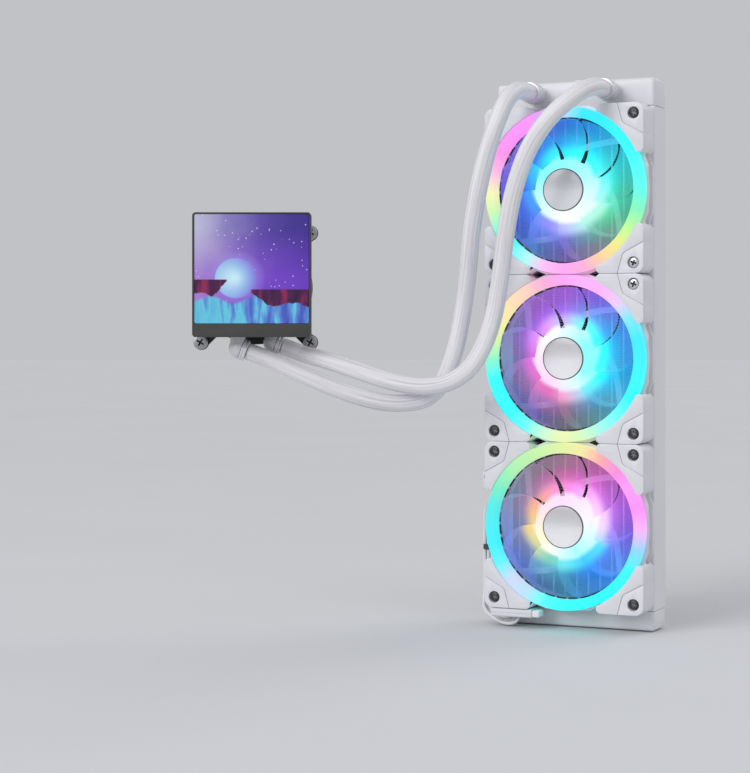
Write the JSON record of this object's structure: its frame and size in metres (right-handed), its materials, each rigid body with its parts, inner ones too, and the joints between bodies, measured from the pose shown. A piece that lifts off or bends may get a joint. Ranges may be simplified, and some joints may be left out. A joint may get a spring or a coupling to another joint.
{
  "type": "liquid cooling radiator",
  "caption": "Closed-loop liquid cooler: white radiator with lit ring fans on one face, two braided hoses and a pump head with a square display and copper cold plate",
  "frame": {"origin": "centre of the bottom tank's rear face, which lies in the plane that the radiator is screwed to", "axes": "+Z along the radiator towards the tank with the hose ports, +X across the radiator to the right of someone facing the fans, -Y out of the fans"},
  "size_m": [0.3239, 0.1629, 0.3958],
  "materials": {
    "white_metal": "satin white powder coat",
    "white_plastic": "fine satin white",
    "tube_aluminium": "bare, brazed",
    "fin_aluminium": "thin folded strip",
    "ring_light": "translucent diffuser, lit from inside",
    "blade_plastic": "translucent, lit from the hub",
    "cap_silver": "satin silver disc",
    "motor_metal": "wound copper and laminated steel",
    "screw_black": "black zinc",
    "screw_steel": "bright zinc",
    "hose_white": "braided white sleeve over rubber",
    "collar_white": "satin crimped collar",
    "elbow_white": "satin white",
    "dark_plastic": "satin charcoal",
    "screen_glass": "lit display behind glass",
    "copper": "machined copper",
    "bracket_steel": "black coated steel",
    "impeller_plastic": "moulded",
    "cable_white": "smooth white jacket",
    "plug_white": "moulded white"
  },
  "bodies": {
    "cooler": {"cable_coil": "cable_white", "cold_plate": "copper", "collar_pump_left": "collar_white", "collar_pump_right": "collar_white", "collar_radiator_left": "collar_white", "collar_radiator_right": "collar_white", "elbow_left": "elbow_white", "elbow_right": "elbow_white", "fan_cable": "cable_white", "fan_connector": "white_plastic", "fan_frame_bottom": "white_plastic", "fan_frame_middle": "white_plastic", "fan_frame_top": "white_plastic", "fan_motor_bottom": "motor_metal", "fan_motor_middle": "motor_metal", "fan_motor_top": "motor_metal", "fan_plug": "plug_white", "fan_screw_bottom_lower_left": "screw_black", "fan_screw_bottom_lower_right": "screw_black", "fan_screw_bottom_upper_left": "screw_black", "fan_screw_bottom_upper_right": "screw_black", "fan_screw_middle_lower_left": "screw_black", "fan_screw_middle_lower_right": "screw_black", "fan_screw_middle_upper_left": "screw_black", "fan_screw_middle_upper_right": "screw_steel", "fan_screw_top_lower_left": "screw_black", "fan_screw_top_lower_right": "screw_steel", "fan_screw_top_upper_left": "screw_black", "fan_screw_top_upper_right": "screw_black", "fill_plug": "white_metal", "hose_left": "hose_white", "hose_right": "hose_white", "lcd_bezel": "dark_plastic", "lcd_panel": "screen_glass", "light_cable": "cable_white", "light_plug": "plug_white", "light_ring_bottom": "ring_light", "light_ring_middle": "ring_light", "light_ring_top": "ring_light", "pump_housing": "dark_plastic", "pump_motor": "motor_metal", "radiator_fins": "fin_aluminium", "radiator_tubes": "tube_aluminium", "retention_bracket": "bracket_steel", "side_plate_left": "white_metal", "side_plate_right": "white_metal", "tank_bottom": "white_metal", "tank_top": "white_metal"},
    "rotor_bottom": {"fan_rotor_bottom": "blade_plastic", "hub_cap_bottom": "cap_silver"},
    "rotor_middle": {"fan_rotor_middle": "blade_plastic", "hub_cap_middle": "cap_silver"},
    "rotor_top": {"fan_rotor_top": "blade_plastic", "hub_cap_top": "cap_silver"},
    "pump_rotor": {"impeller": "impeller_plastic"},
    "mount_screw_upper_left": {"captive_screw_upper_left": "screw_steel"},
    "mount_screw_upper_right": {"captive_screw_upper_right": "screw_steel"},
    "mount_screw_lower_left": {"captive_screw_lower_left": "screw_steel"},
    "mount_screw_lower_right": {"captive_screw_lower_right": "screw_steel"}
  },
  "joints": [
    {"name": "fan_spin_bottom", "type": "hinge", "parent": "cooler", "child": "rotor_bottom", "pos_m": [0, -0.04, 0.067], "axis": [0, 1, 0], "continuous": true},
    {"name": "fan_spin_middle", "type": "hinge", "parent": "cooler", "child": "rotor_middle", "pos_m": [0, -0.04, 0.187], "axis": [0, 1, 0], "continuous": true},
    {"name": "fan_spin_top", "type": "hinge", "parent": "cooler", "child": "rotor_top", "pos_m": [0, -0.04, 0.307], "axis": [0, 1, 0], "continuous": true},
    {"name": "impeller_spin", "type": "hinge", "parent": "cooler", "child": "pump_rotor", "pos_m": [-0.22078, -0.10156, 0.23815], "axis": [-0.421, 0.907, 0], "continuous": true},
    {"name": "screw_travel_upper_left", "type": "slide", "parent": "cooler", "child": "mount_screw_upper_left", "axis": [0.421, -0.907, 0], "range_m": [0, 0.003]},
    {"name": "screw_travel_upper_right", "type": "slide", "parent": "cooler", "child": "mount_screw_upper_right", "axis": [0.421, -0.907, 0], "range_m": [0, 0.003]},
    {"name": "screw_travel_lower_left", "type": "slide", "parent": "cooler", "child": "mount_screw_lower_left", "axis": [0.421, -0.907, 0], "range_m": [0, 0.003]},
    {"name": "screw_travel_lower_right", "type": "slide", "parent": "cooler", "child": "mount_screw_lower_right", "axis": [0.421, -0.907, 0], "range_m": [0, 0.003]}
  ]
}
